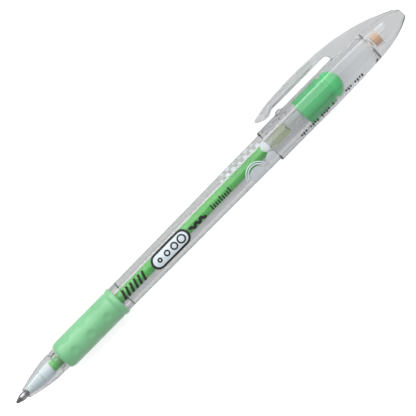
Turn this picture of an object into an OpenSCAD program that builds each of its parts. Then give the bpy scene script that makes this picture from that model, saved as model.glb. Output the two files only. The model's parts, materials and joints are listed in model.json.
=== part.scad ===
// Capped gel roller-ball pen, lying on a table with its cap posted on the rear.
// The pen axis runs along X with the ball at low x. The cap shell and one edge of the clip touch z = 0.

/* [Overall] */
// Length from the ball to the end of the end plug
body_l = 137.7; // [110:0.1:170]
// Length of the cap from its mouth to the end of its nose
cap_l = 56.6; // [46:0.1:70]
// Length of barrel and plug that the posted cap covers
post_overlap = 29.7; // [24:0.1:33]

/* [Point] */
// Diameter of the writing ball
ball_d = 0.8; // [0.5:0.05:1.2]
// Radial clearance of the ball in its socket
ball_gap = 0.02; // [0.01:0.005:0.05]
// Length of the metal point in front of the nose cone
point_l = 4.0; // [3:0.1:6]
// Length of the point's cone
point_cone_l = 2.1; // [1:0.1:2.6]
// Radius of the point's straight part
point_r = 1.15; // [0.9:0.05:1.4]
// Radius of the point's shank inside the tip holder
shank_r = 0.75; // [0.6:0.05:0.85]
// Length of the point's shank
shank_l = 4.5; // [3:0.1:6]
// Radius of the ink channel
channel_r = 0.3; // [0.2:0.05:0.4]

/* [Nose cone] */
// Length of the nose cone in front of its screw spigot
nose_l = 12.9; // [10:0.1:18]
// Outer radius at the front of the nose cone
nose_front_r = 1.75; // [1.6:0.05:2.2]
// Outer radius at the rim of the nose cone
nose_rim_r = 3.75; // [3.5:0.05:4.2]
// Wall of the nose cone
nose_wall = 0.6; // [0.5:0.05:0.7]
// Length of the screw spigot
spigot_l = 6.6; // [4:0.1:8]
// Radius of the screw spigot
spigot_r = 2.85; // [2.7:0.05:2.95]
// Radius of the bore through the spigot
spigot_bore_r = 2.4; // [2.3:0.05:2.5]
// Radial running clearance of the screw spigot
screw_gap = 0.05; // [0.02:0.01:0.1]
// Gap between the nose rim and the barrel neck
neck_gap = 0.3; // [0.2:0.05:0.6]

/* [Refill] */
// Outer radius of the ink tube
tube_r = 1.85; // [1.6:0.05:2]
// Wall of the ink tube
tube_wall = 0.5; // [0.3:0.05:0.6]
// Length of the ink tube inside the tip holder
tube_seat_l = 3.0; // [2:0.1:4]
// Length of the tip holder
holder_l = 10.0; // [8:0.1:12]
// Largest radius of the tip holder
holder_r = 2.3; // [2.2:0.05:2.35]
// Clearance between the tip holder and the nose cone
holder_gap = 0.08; // [0.05:0.01:0.2]
// Length of tube behind the ink
ink_headspace = 15.4; // [5:0.1:60]
// Gap between the ink and the follower that floats behind it
follower_gap = 3.0; // [0:0.1:5]
// Length of the follower
follower_l = 7.0; // [3:0.1:9]
// Gap between the ink tube and the end plug
refill_gap = 0.3; // [0.2:0.1:3]
// Lean of the ink tube in the barrel, in degrees
refill_lean = 0.3; // [0:0.05:0.35]

/* [Barrel] */
// Radius of the barrel neck in front of the grip
neck_r = 3.65; // [3.5:0.05:3.8]
// Length of the barrel neck
neck_l = 2.0; // [1:0.1:3]
// Radius of the grip seat
seat_r = 3.4; // [3.3:0.05:3.6]
// Barrel radius just behind the grip
barrel_front_r = 4.5; // [4.3:0.05:4.7]
// Barrel radius at the posted cap
barrel_rear_r = 4.93; // [4.7:0.01:5.2]
// Radius of the barrel cavity
cavity_r = 3.35; // [3:0.05:3.8]
// Radius of the narrow bore under the grip
front_bore_r = 2.55; // [2.4:0.05:2.8]
// Radius of the rounding at the barrel's rear edge
barrel_round_r = 0.5; // [0.2:0.05:0.8]

/* [Grip] */
// Length of the grip sleeve
grip_l = 24.6; // [18:0.1:30]
// Radius of the grip sleeve
grip_r = 4.65; // [4.4:0.05:4.8]
// Length of the rounded front of the grip
grip_nose_l = 2.8; // [1:0.1:4]
// Length of the raised ring at the rear of the grip
ring_l = 1.5; // [1:0.1:2.5]
// Radius of the raised ring
ring_r = 4.85; // [4.7:0.05:4.9]
// Depth of the fine groove in front of the ring
groove_d = 0.15; // [0.1:0.05:0.3]
// Dimples along the grip
dimple_rows = 3; // [2:1:4]
// Dimples round the grip
dimples_round = 6; // [4:1:8]
// Turn of the first row of dimples away from the side opposite the table
dimple_turn = 13; // [-30:1:30]
// Depth of a dimple
dimple_depth = 0.28; // [0.1:0.02:0.4]
// Radius of the ball shape that cuts a dimple
dimple_r = 3.0; // [2:0.1:4]
// Spacing of the dimples along the grip
dimple_pitch = 6.9; // [5:0.1:8]

/* [End plug] */
// Length of the plug pressed into the barrel
plug_l = 10.8; // [7:0.1:14]
// Length of the plug's domed head
plug_head_l = 4.2; // [3:0.1:5]
// Radius of the plug's head
plug_head_r = 4.55; // [4:0.05:4.7]
// Length of the narrow neck between the barrel and the head
plug_neck_l = 0.9; // [0.5:0.1:1.5]

/* [Cap] */
// Wall of the cap
cap_wall = 0.55; // [0.45:0.05:0.8]
// Radial running clearance of the posted cap
post_gap = 0.07; // [0.03:0.01:0.1]
// Length of the solid nose of the cap
cap_nose_l = 13.6; // [11:0.1:16]
// Radius of the blunt end of the cap
cap_end_r = 1.65; // [1:0.05:2.5]
// Radius of the tip seal
seal_r = 1.75; // [1.5:0.05:2.2]
// Length of the tip seal
seal_l = 2.4; // [1.5:0.1:3.5]
// Depth of the seal below the end of the cap cavity
seal_depth = 1.1; // [0.5:0.1:2]

/* [Clip] */
// Width of the clip
clip_w = 4.4; // [3.5:0.1:5.5]
// Distance of the clip tip behind the cap mouth
clip_setback = 2.0; // [1:0.1:6]
// Height of the clip's outer face above the cap shell
clip_rise = 4.75; // [4:0.05:5.5]
// Thickness of the clip
clip_t = 2.95; // [2.4:0.05:3.2]
// Drop of the contact bump below the clip's inner face
bump_drop = 0.9; // [0.4:0.05:1.1]
// Height of the detent nub on the cap shell
nub_h = 0.65; // [0.3:0.05:0.7]
// Half length of the detent nub
nub_half_l = 1.5; // [1:0.1:2]
// Clearance round the clip's flexing root
clip_gap = 0.06; // [0.04:0.01:0.15]

/* [Hidden] */
$fn = 96;
eps = 0.01;
arc_steps = 14;

// Stations along the pen, measured from the ball
nose_x = point_l;
rim_x = nose_x + nose_l;
neck_x = rim_x + neck_gap;
seat_x = neck_x + neck_l;
grip_end_x = seat_x + grip_l;
dimple_x = seat_x + grip_l / 2 - 0.9;
barrel_end_x = body_l - plug_head_l - plug_neck_l;
plug_x = barrel_end_x - plug_l;
tube_end_x = plug_x - refill_gap;
holder_x = nose_x + 1.3;
holder_end_x = holder_x + holder_l;
tube_x = holder_end_x - tube_seat_l;
lean_x = tube_x + tube_seat_l / 2;
ink_x = tube_x + 0.2;
ink_end_x = tube_end_x - ink_headspace;
follower_x = ink_end_x + follower_gap;
cavity_x = grip_end_x + 2.2;
mouth_x = body_l - post_overlap;
cap_end_x = mouth_x + cap_l;
cap_floor_x = cap_end_x - cap_nose_l;
taper_x = cap_end_x - 26;
seal_x = cap_floor_x + seal_depth;

// The point's stations, and the ball socket as angles round the ball from the front
lip_x = 0.32 * ball_d;
point_end_x = point_l + 0.9;
shank_end_x = point_end_x + shank_l;
socket_r = ball_d / 2 + ball_gap;
socket_open = acos((ball_d / 2 - lip_x) / socket_r);
socket_floor = 180 - asin(channel_r / socket_r);

// Radii that follow from the fits
tube_bore_r = tube_r - tube_wall;
point_hole_r = point_r + screw_gap;
screw_bore_r = spigot_r + screw_gap;
cap_bore_r = barrel_rear_r + post_gap;
cap_r = cap_bore_r + cap_wall;
crest_r = cap_r + clip_rise;
nub_round_r = (nub_half_l * nub_half_l + nub_h * nub_h) / (2 * nub_h);

// The roll that brings the cap shell and the clip's lower edge onto one plane
clip_reach = norm([crest_r, clip_w / 2]);
roll = asin(cap_r / clip_reach) - atan2(clip_w / 2, crest_r);
y_high = crest_r * cos(roll) + clip_w / 2 * sin(roll);
y_mid = (y_high - cap_r) / 2;

// Clip stations as [x, distance from the axis]
clip_x = mouth_x + clip_setback;
clip_l = cap_end_x - clip_x;
inner_r = crest_r - clip_t;
web_x = clip_x + 0.545 * clip_l;
pivot_x = clip_x + 0.64 * clip_l;
tip_top = [clip_x, cap_r + 3.05];
tip_low = [clip_x + 0.2, cap_r + 2.4];
bump = [clip_x + 3.9, inner_r - bump_drop];
crest_a = [clip_x + 0.33 * clip_l, crest_r];
shoulder = [cap_end_x - 8.6, cap_r + 0.35];
root_low = [cap_end_x - 12.2, cap_r * 0.6];
root_end = [cap_end_x - 1.4, cap_end_r + 1.25];

// Point at t on a cubic curve through four control points
function bez(p, t) =
    pow(1 - t, 3) * p[0] + 3 * t * pow(1 - t, 2) * p[1] + 3 * t * t * (1 - t) * p[2] + pow(t, 3) * p[3];

// Points along a cubic curve, leaving out its first point
function run(p, n = arc_steps) = [for (i = [1 : n]) bez(p, i / n)];

// Height of a list of [x, r] points at a given x, read between neighbours in rising x
function height_at(pts, x) =
    let (k = [for (i = [0 : len(pts) - 2]) if (pts[i][0] <= x && x < pts[i + 1][0]) i][0])
    pts[k][1] + (pts[k + 1][1] - pts[k][1]) * (x - pts[k][0]) / (pts[k + 1][0] - pts[k][0]);

// Outer edge of the clip from its tip to the nose of the cap
outer_edge = concat(
    [tip_top],
    run([tip_top, tip_top + [4, 1.4], [clip_x + 0.2 * clip_l, crest_r], crest_a]),
    run([
        crest_a, [clip_x + 0.53 * clip_l, crest_r], [clip_x + 0.68 * clip_l, crest_r - 1.1], shoulder
    ]),
    [root_end]
);

// Inner edge of the clip, from its tip over the contact bump and down into the nose
inner_edge = concat(
    [tip_low],
    run([tip_low, tip_low + [1.6, -0.9], bump - [1.2, 0], bump]),
    run([bump, bump + [1.3, 0], [bump[0] + 1.4, inner_r], [bump[0] + 3.2, inner_r]]),
    run([
        [clip_x + 0.5 * clip_l, inner_r],
        [web_x, inner_r],
        [web_x + 4, inner_r - 1],
        root_low
    ])
);
pivot_high = height_at(outer_edge, pivot_x);
pivot_low = height_at(inner_edge, pivot_x);
pivot_z = (pivot_high + pivot_low) / 2;
pivot_r = (pivot_high - pivot_low) / 2 + 0.02;

// Outer radius of the nose cone at x
function nose_outer(x) =
    nose_front_r + (nose_rim_r - nose_front_r) * pow(sin(90 * (x - nose_x) / nose_l), 1.1);

// Inner radius of the nose cone at x
function nose_inner(x) = min(nose_outer(x) - nose_wall, spigot_bore_r);

// Stations in equal steps between two places
function steps(a, b, n = arc_steps) = [for (i = [0 : n]) a + (b - a) * i / n];

// Barrel radius at x, a straight draft that stops at the posted cap
function barrel_outer(x) =
    barrel_front_r + (barrel_rear_r - barrel_front_r)
        * min(1, (x - grip_end_x) / (mouth_x - grip_end_x));

// The whole pen stands on z = 0 with its box centred in x and y
module place() translate([-cap_end_x / 2, -y_mid, cap_r]) rotate([-roll, 0, 0]) children();

// A body of revolution about the pen axis from [radius, x] points
module lathe(pts) rotate([0, 90, 0]) rotate_extrude() polygon(pts);

// A plate across the clip plane from [x, height] points
module plate(pts, w) rotate([90, 0, 0]) linear_extrude(height = w, center = true) polygon(pts);

// Turns a shape drawn with its height along Z so that the height points along the clip
module to_clip() rotate([-90, 0, 0]) children();

module ball() color("dimgray") place() translate([ball_d / 2, 0, 0]) sphere(d = ball_d);

// Turned steel point with a ball socket, an ink channel and a shank
module metal_point()
    color("silver") place() lathe(concat(
        [
            [channel_r, shank_end_x],
            [shank_r, shank_end_x],
            [shank_r, point_end_x],
            [point_r, point_end_x],
            [point_r, point_cone_l + 0.1],
            [point_r - 0.1, point_cone_l],
            [socket_r + 0.04, lip_x]
        ],
        [
            for (a = steps(socket_open, socket_floor, 12))
                [socket_r * sin(a), ball_d / 2 - socket_r * cos(a)]
        ]
    ));

// Translucent plug that carries the metal point and holds the ink tube
module tip_holder()
    color("whitesmoke") place() difference() {
        lathe(concat(
            [[0, holder_x]],
            [for (x = steps(holder_x, holder_x + 6)) [min(nose_inner(x) - holder_gap, holder_r), x]],
            [[holder_r, holder_end_x], [0, holder_end_x]]
        ));
        lathe([
            [0, holder_x - eps],
            [shank_r, holder_x - eps],
            [shank_r, shank_end_x],
            [channel_r, shank_end_x],
            [channel_r, tube_x + 0.2],
            [0, tube_x + 0.2]
        ]);
        leaned() sleeve(tube_x, holder_end_x + 1, tube_r, 0);
    }

// Turns the tube and what it holds about the middle of its seat by its small lean
module leaned()
    translate([lean_x, 0, 0]) rotate([0, 0, refill_lean]) translate([-lean_x, 0, 0]) children();

// A ring or rod between two stations on the tube's own axis
module sleeve(a, b, r, bore) lathe([[bore, a], [r, a], [r, b], [bore, b]]);

module ink_tube() color("honeydew") place() leaned() sleeve(tube_x, tube_end_x, tube_r, tube_bore_r);

module ink_column() color("limegreen") place() leaned() sleeve(ink_x, ink_end_x, tube_bore_r, 0);

module follower()
    color("yellowgreen") place() leaned()
        sleeve(follower_x, follower_x + follower_l, tube_bore_r, 0);

// Clear nose with a plain spigot standing in for the screw thread
module nose_cone()
    color("gainsboro") place() lathe(concat(
        [[point_hole_r, nose_x], [nose_front_r - 0.15, nose_x]],
        [for (x = steps(nose_x + 0.2, rim_x - 0.3)) [nose_outer(x), x]],
        [
            [nose_rim_r - 0.15, rim_x],
            [spigot_r, rim_x],
            [spigot_r, rim_x + spigot_l],
            [spigot_bore_r, rim_x + spigot_l]
        ],
        [for (x = steps(rim_x - 0.3, holder_x - 0.2)) [max(nose_inner(x), point_hole_r), x]],
        [[point_hole_r, holder_x - 0.2]]
    ));

// Clear barrel with a screw bore, a grip seat, a long cavity and an open rear
module barrel()
    color("lightgray") place() difference() {
        lathe(concat(
            [
                [0, neck_x],
                [neck_r, neck_x],
                [neck_r + 0.15, seat_x],
                [seat_r, seat_x],
                [seat_r, grip_end_x],
                [barrel_front_r - 0.2, grip_end_x],
                [barrel_front_r, grip_end_x + 0.2],
                [barrel_outer(mouth_x), mouth_x],
                [barrel_rear_r, barrel_end_x - barrel_round_r]
            ],
            [
                for (i = [1 : 6])
                    [
                        barrel_rear_r - barrel_round_r + barrel_round_r * cos(15 * i),
                        barrel_end_x - barrel_round_r + barrel_round_r * sin(15 * i)
                    ]
            ],
            [[0, barrel_end_x]]
        ));
        lathe([
            [0, neck_x - eps],
            [screw_bore_r, neck_x - eps],
            [screw_bore_r, rim_x + spigot_l + 0.5],
            [front_bore_r, rim_x + spigot_l + 0.8],
            [front_bore_r, cavity_x],
            [front_bore_r + 0.45, cavity_x + 0.35],
            [cavity_r - 0.12, cavity_x + 1],
            [cavity_r, cavity_x + 1.8],
            [cavity_r, barrel_end_x + eps],
            [0, barrel_end_x + eps]
        ]);
    }

// One dimple cutter on the side of the grip at a station and an angle
module dimple(x, angle)
    rotate([angle, 0, 0]) translate([x, 0, grip_r + dimple_r - dimple_depth]) sphere(r = dimple_r);

// Rubber sleeve with a rounded front, rows of dimples, a fine groove and a rear ring
module grip_sleeve()
    color("lightgreen") place() difference() {
        lathe(concat(
            [[seat_r, seat_x]],
            [
                for (a = [0 : 9 : 90])
                    [
                        neck_r + 0.1 + (grip_r - neck_r - 0.1) * sin(a),
                        seat_x + grip_nose_l * (1 - cos(a))
                    ]
            ],
            [
                [grip_r, grip_end_x - ring_l - 0.9],
                [grip_r - groove_d, grip_end_x - ring_l - 0.65],
                [grip_r, grip_end_x - ring_l - 0.4],
                [ring_r, grip_end_x - ring_l],
                [ring_r, grip_end_x - 0.3],
                [ring_r - 0.25, grip_end_x],
                [seat_r, grip_end_x]
            ]
        ));
        for (row = [0 : dimple_rows - 1], k = [0 : dimples_round - 1])
            dimple(
                dimple_x + (row - (dimple_rows - 1) / 2) * dimple_pitch,
                dimple_turn + 360 / dimples_round * k
            );
    }

// Opaque plug with a body pressed into the barrel and a domed head
module end_plug()
    color("mediumseagreen") place() lathe(concat(
        [
            [0, plug_x],
            [cavity_r - 0.3, plug_x],
            [cavity_r, plug_x + 0.3],
            [cavity_r, barrel_end_x],
            [plug_head_r - 0.5, barrel_end_x],
            [plug_head_r - 0.5, barrel_end_x + plug_neck_l - 0.2],
            [plug_head_r - 0.2, barrel_end_x + plug_neck_l]
        ],
        [
            for (a = [0 : 7.5 : 90])
                [plug_head_r * cos(a), body_l - plug_head_l + 0.6 + (plug_head_l - 0.6) * sin(a)]
        ]
    ));

// The cap's round outside, a cylinder that draws in to the blunt end
module cap_outside()
    lathe(concat(
        [
            [0, mouth_x],
            [cap_r - 0.3, mouth_x],
            [cap_r, mouth_x + 0.3],
            [cap_r, taper_x],
            [cap_r - 0.45, cap_floor_x + 0.2]
        ],
        [
            for (p = run([
                [cap_r - 0.45, cap_floor_x + 0.2],
                [cap_r - 0.75, cap_floor_x + 5],
                [cap_end_r + 2.2, cap_end_x - 4.4],
                [cap_end_r + 0.6, cap_end_x - 1.2]
            ])) p
        ],
        [[cap_end_r, cap_end_x], [0, cap_end_x]]
    ));

// The cap's cavity and the pocket for the tip seal
module cap_inside()
    lathe([
        [0, mouth_x - eps],
        [cap_bore_r + 0.2, mouth_x - eps],
        [cap_bore_r, mouth_x + 0.4],
        [cap_bore_r, body_l],
        [cap_bore_r - 0.25, cap_floor_x - 2.5],
        [cap_bore_r - 0.6, cap_floor_x - 0.8],
        [cap_bore_r - 1.4, cap_floor_x],
        [seal_r, cap_floor_x],
        [seal_r, seal_x + seal_l],
        [0, seal_x + seal_l]
    ]);

// Solid root that joins the clip to the cap, with a web below the clip's inner edge
module clip_root()
    to_clip() difference() {
        union() {
            plate(
                concat(
                    [[web_x, 0]],
                    [
                        for (w = [[0, 0.9], [0.4, 0.3]])
                            [web_x + w[0], height_at(inner_edge, web_x + w[0]) - w[1]]
                    ],
                    [for (p = inner_edge) if (p[0] > web_x + 0.5 && p[0] < pivot_x) p - [0, clip_gap]],
                    [[pivot_x, pivot_low - clip_gap], [pivot_x, pivot_high]],
                    [for (p = outer_edge) if (p[0] > pivot_x) p],
                    [[cap_end_x - 1.4, 0]]
                ),
                clip_w
            );
        }
        translate([pivot_x, 0, pivot_z]) rotate([90, 0, 0])
            cylinder(r = pivot_r + clip_gap, h = clip_w + 1, center = true);
    }

// A low round-topped nub under the clip tip
module nub()
    to_clip() intersection() {
        rotate([90, 0, 0]) translate([bump[0] + 3.4, cap_r + nub_h - nub_round_r, 0])
            cylinder(r = nub_round_r, h = clip_w - 1.8, center = true);
        translate([bump[0] + 3.4, 0, cap_r]) cube([8, clip_w, 4 * nub_h], center = true);
    }

module cap()
    color("lightgray") place() difference() {
        union() {
            cap_outside();
            clip_root();
            nub();
        }
        cap_inside();
    }

// The springing arm of the clip, which turns a little about its root
module clip()
    color("gainsboro") place() to_clip() union() {
        plate(
            concat(
                [for (p = outer_edge) if (p[0] < pivot_x) p],
                [[pivot_x, pivot_high], [pivot_x, pivot_low]],
                [
                    for (i = [len(inner_edge) - 1 : -1 : 0])
                        if (inner_edge[i][0] < pivot_x) inner_edge[i]
                ]
            ),
            clip_w
        );
        translate([pivot_x, 0, pivot_z]) rotate([90, 0, 0])
            cylinder(r = pivot_r, h = clip_w, center = true);
    }

// Rubber pad that the ball rests on when the cap is on the front
module tip_seal() color("tan") place() sleeve(seal_x, seal_x + seal_l, seal_r, 0);

ball();
metal_point();
tip_holder();
ink_tube();
ink_column();
follower();
nose_cone();
barrel();
grip_sleeve();
end_plug();
cap();
clip();
tip_seal();
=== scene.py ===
"""Looks of a clear capped gel roller-ball pen that lies with its cap posted on the rear.

Every piece is drawn in millimetres in the pen's own frame and is then carried into the row frame.
In the pen's own frame x runs from the writing ball to the nose of the cap, y points out along the
clip, and z is square to both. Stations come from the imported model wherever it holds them.
"""
import json
import logging
import math
from collections.abc import Callable
from dataclasses import dataclass, field
from enum import Enum
from functools import cache

import bmesh
import bpy
from mathutils import Matrix, Vector


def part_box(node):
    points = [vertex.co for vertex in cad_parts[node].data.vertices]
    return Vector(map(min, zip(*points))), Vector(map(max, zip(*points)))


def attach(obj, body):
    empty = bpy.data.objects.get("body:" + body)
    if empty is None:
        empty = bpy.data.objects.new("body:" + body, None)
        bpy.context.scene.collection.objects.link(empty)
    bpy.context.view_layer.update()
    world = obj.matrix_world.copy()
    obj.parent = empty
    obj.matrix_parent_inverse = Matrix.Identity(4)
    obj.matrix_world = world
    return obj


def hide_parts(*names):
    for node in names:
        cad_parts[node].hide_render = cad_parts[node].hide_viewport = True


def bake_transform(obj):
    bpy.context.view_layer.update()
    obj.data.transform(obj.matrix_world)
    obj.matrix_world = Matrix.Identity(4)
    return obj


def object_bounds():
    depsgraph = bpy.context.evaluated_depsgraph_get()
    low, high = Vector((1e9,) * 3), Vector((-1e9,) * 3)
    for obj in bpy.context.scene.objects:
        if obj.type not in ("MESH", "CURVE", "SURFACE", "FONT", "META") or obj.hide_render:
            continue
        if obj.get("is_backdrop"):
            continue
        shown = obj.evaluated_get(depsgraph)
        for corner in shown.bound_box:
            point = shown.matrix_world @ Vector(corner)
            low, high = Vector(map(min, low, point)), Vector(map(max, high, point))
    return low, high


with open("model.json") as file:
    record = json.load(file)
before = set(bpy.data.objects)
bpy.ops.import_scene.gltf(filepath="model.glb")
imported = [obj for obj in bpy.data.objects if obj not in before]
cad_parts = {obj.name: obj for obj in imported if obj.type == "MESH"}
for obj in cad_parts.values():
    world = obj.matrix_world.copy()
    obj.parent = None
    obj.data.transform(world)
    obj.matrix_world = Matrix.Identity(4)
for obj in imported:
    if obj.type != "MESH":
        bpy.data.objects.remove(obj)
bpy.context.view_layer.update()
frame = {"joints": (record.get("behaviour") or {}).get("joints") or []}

LOG = logging.getLogger("pen")
MM = 0.001
TURN = 2 * math.pi

Flat = tuple[float, float]
Corner = tuple[float, float, float]
Colour = tuple[float, float, float, float]
Dent = Callable[[float, float, float], float]
Skin = Callable[[float], float]


# ---------------------------------------------------------------- frame


@cache
def node_box(node: str) -> tuple[Vector, Vector]:
    """Lowest and highest corner of a CAD node at rest, in row metres."""
    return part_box(node)


@dataclass(frozen=True)
class PenFrame:
    """Where the pen's own frame lies in the row frame.

    Attributes:
        tip: The ball's foremost point on the pen axis, in metres.
        roll: How far the clip leans below the level, in radians.
    """

    tip: Vector
    roll: float

    @classmethod
    def from_model(cls) -> "PenFrame":
        """Reads the axis from the nose cone's joint and the roll from the clip's hinge."""
        joints = {joint["name"]: joint for joint in frame["joints"]}
        centre = joints["nose_turn"]["pos_m"]
        hinge = joints["clip_flex"]["axis"]
        tip = Vector((node_box("ball")[0].x, centre[1], centre[2]))
        return cls(tip, math.atan2(-hinge[1], -hinge[2]))

    def matrix(self) -> Matrix:
        """Carries pen millimetres into row metres."""
        turn = Matrix.Rotation(-self.roll, 4, "X")
        return Matrix.Translation(self.tip) @ turn @ Matrix.Scale(MM, 4)

    def row(self, x: float, y: float, z: float) -> Vector:
        """A pen point as a row point.

        Args:
            x: Station along the pen, in millimetres.
            y: Distance out along the clip, in millimetres.
            z: Distance square to the clip, in millimetres.

        Returns:
            The point in the row frame, in metres.
        """
        return self.matrix() @ Vector((x, y, z))

    def direction(self, x: float, y: float, z: float) -> Vector:
        """A pen direction as a row direction of unit length."""
        return (Matrix.Rotation(-self.roll, 3, "X") @ Vector((x, y, z))).normalized()

    def span(self, node: str) -> Flat:
        """First and last station of a CAD node, in millimetres."""
        low, high = node_box(node)
        return (low.x - self.tip.x) / MM, (high.x - self.tip.x) / MM


PEN = PenFrame.from_model()


# ---------------------------------------------------------------- outlines


def cubic(a: Flat, b: Flat, c: Flat, d: Flat, count: int = 24) -> list[Flat]:
    """Points along a cubic curve, without its first one.

    Args:
        a: Start.
        b: First handle.
        c: Second handle.
        d: End.
        count: Number of points.

    Returns:
        The points in order.
    """
    points = []
    for i in range(1, count + 1):
        t = i / count
        s = 1 - t
        weights = (s**3, 3 * s * s * t, 3 * s * t * t, t**3)
        points.append(tuple(sum(w * p[k] for w, p in zip(weights, (a, b, c, d))) for k in (0, 1)))
    return points


def rounded(corners: list[Corner], step: float = 12) -> list[Flat]:
    """Rounds each corner of a closed outline with an arc of its own radius.

    Args:
        corners: Points as (x, r, radius of the rounding).
        step: Angle between the points of an arc, in degrees.

    Returns:
        The outline's points.
    """
    points: list[Flat] = []
    count = len(corners)
    for i, (x, r, radius) in enumerate(corners):
        here = Vector((x, r))
        back = Vector(corners[i - 1][:2]) - here
        ahead = Vector(corners[(i + 1) % count][:2]) - here
        angle = back.angle(ahead) if radius > 0 else math.pi
        if radius <= 0 or angle > math.radians(178):
            points.append((x, r))
            continue
        reach = min(radius / math.tan(angle / 2), 0.48 * back.length, 0.48 * ahead.length)
        true_radius = reach * math.tan(angle / 2)
        start, end = here + back.normalized() * reach, here + ahead.normalized() * reach
        middle = here + (back.normalized() + ahead.normalized()).normalized() * (
            true_radius / math.sin(angle / 2)
        )
        sweep = math.pi - angle
        pieces = max(2, round(math.degrees(sweep) / step))
        first, last = start - middle, end - middle
        for k in range(pieces + 1):
            t = k / pieces
            arm = first * math.sin((1 - t) * sweep) + last * math.sin(t * sweep)
            arm = arm.normalized() * true_radius
            points.append((middle.x + arm.x, middle.y + arm.y))
    return points


def reading(points: list[Flat], x: float) -> float:
    """Height of a line of points at a station, with the ends held level.

    Args:
        points: Points in rising x.
        x: The station.

    Returns:
        The height there.
    """
    if x <= points[0][0]:
        return points[0][1]
    for (xa, ya), (xb, yb) in zip(points, points[1:]):
        if xa <= x <= xb and xb > xa:
            return ya + (yb - ya) * (x - xa) / (xb - xa)
    return points[-1][1]


def ease(t: float) -> float:
    """A smooth rise from 0 to 1."""
    t = min(max(t, 0.0), 1.0)
    return t * t * (3 - 2 * t)


def stations(a: float, b: float, count: int) -> list[float]:
    """Evenly spaced places from a to b."""
    return [a + (b - a) * i / count for i in range(count + 1)]


# ---------------------------------------------------------------- meshes


class Mesh:
    """A mesh under construction in the pen's own frame, in millimetres."""

    def __init__(self) -> None:
        """Starts with nothing in it."""
        self.bm = bmesh.new()

    def lathe(self, outline: list[Flat], segments: int = 128, dent: Dent | None = None) -> "Mesh":
        """Turns a closed outline about the pen axis.

        Args:
            outline: Points as (x, r), round the section in order.
            segments: Steps round the axis.
            dent: Gives the radius to use for an (x, r, angle), or None for plain turning.

        Returns:
            The mesh itself.
        """
        rings = []
        for x, r in outline:
            if r < 1e-6:
                rings.append([self.bm.verts.new((x, 0, 0))])
                continue
            ring = []
            for k in range(segments):
                angle = TURN * k / segments
                radius = dent(x, r, angle) if dent else r
                ring.append(self.bm.verts.new((x, radius * math.sin(angle), radius * math.cos(angle))))
            rings.append(ring)
        for ring, after in zip(rings, rings[1:] + rings[:1]):
            self.join(ring, after)
        return self

    def join(self, ring: list[bmesh.types.BMVert], after: list[bmesh.types.BMVert]) -> None:
        """Fills the band between two closed rings, either of which may be a single point."""
        if len(ring) == 1 and len(after) == 1:
            return
        count = max(len(ring), len(after))
        for k in range(count):
            n = (k + 1) % count
            if len(ring) == 1:
                corners = (ring[0], after[k], after[n])
            elif len(after) == 1:
                corners = (ring[k], after[0], ring[n])
            else:
                corners = (ring[k], after[k], after[n], ring[n])
            self.bm.faces.new(corners)

    def skin(self, sections: list[list[Vector]]) -> "Mesh":
        """Joins closed sections one after another and closes both ends.

        Args:
            sections: Rings of points, all of one length.

        Returns:
            The mesh itself.
        """
        rings = [[self.bm.verts.new(p) for p in section] for section in sections]
        for ring, after in zip(rings, rings[1:]):
            self.join(ring, after)
        self.bm.faces.new(rings[0])
        self.bm.faces.new(list(reversed(rings[-1])))
        return self

    def slab(self, top: list[list[Vector]], bottom: list[list[Vector]]) -> "Mesh":
        """A thin plate between two grids of points of one shape.

        Args:
            top: Rows of points of the outer face.
            bottom: Rows of points of the inner face.

        Returns:
            The mesh itself.
        """
        upper = [[self.bm.verts.new(p) for p in row] for row in top]
        lower = [[self.bm.verts.new(p) for p in row] for row in bottom]
        rows, columns = len(upper), len(upper[0])
        for grid, flip in ((upper, False), (lower, True)):
            for i in range(rows - 1):
                for j in range(columns - 1):
                    quad = (grid[i][j], grid[i + 1][j], grid[i + 1][j + 1], grid[i][j + 1])
                    self.bm.faces.new(quad[::-1] if flip else quad)
        edge = [(0, j) for j in range(columns)]
        edge += [(i, columns - 1) for i in range(1, rows)]
        edge += [(rows - 1, j) for j in range(columns - 2, -1, -1)]
        edge += [(i, 0) for i in range(rows - 2, 0, -1)]
        for (ia, ja), (ib, jb) in zip(edge, edge[1:] + edge[:1]):
            self.bm.faces.new((upper[ia][ja], upper[ib][jb], lower[ib][jb], lower[ia][ja]))
        return self

    def lean(self, start: float, angle: float) -> "Mesh":
        """Turns the whole mesh towards the clip about a station on the axis."""
        pivot = Vector((start, 0, 0))
        turn = Matrix.Rotation(angle, 3, "Z")
        for vert in self.bm.verts:
            vert.co = pivot + turn @ (vert.co - pivot)
        return self

    def solid(self, name: str) -> bpy.types.Object:
        """Hands the mesh over as an object that is still in pen millimetres."""
        bmesh.ops.remove_doubles(self.bm, verts=self.bm.verts, dist=1e-5)
        bmesh.ops.recalc_face_normals(self.bm, faces=self.bm.faces)
        data = bpy.data.meshes.new(name)
        self.bm.to_mesh(data)
        self.bm.free()
        piece = bpy.data.objects.new(name, data)
        bpy.context.scene.collection.objects.link(piece)
        return piece

    def piece(self, name: str, sharp: float = 32) -> bpy.types.Object:
        """Hands the mesh over as a smooth-shaded object in the row frame.

        Args:
            name: The piece's name.
            sharp: Edges that turn by more than this stay crisp, in degrees.

        Returns:
            The new object.
        """
        made = self.solid(name)
        shade(made, sharp)
        made.data.transform(PEN.matrix())
        return made


def shade(piece: bpy.types.Object, sharp: float) -> None:
    """Shades a piece smooth, with its sharp edges kept crisp.

    Args:
        piece: The object.
        sharp: The angle above which an edge stays crisp, in degrees.
    """
    bm = bmesh.new()
    bm.from_mesh(piece.data)
    for face in bm.faces:
        face.smooth = True
    for edge in bm.edges:
        edge.smooth = edge.calc_face_angle(0.0) < math.radians(sharp)
    bm.to_mesh(piece.data)
    bm.free()


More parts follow.
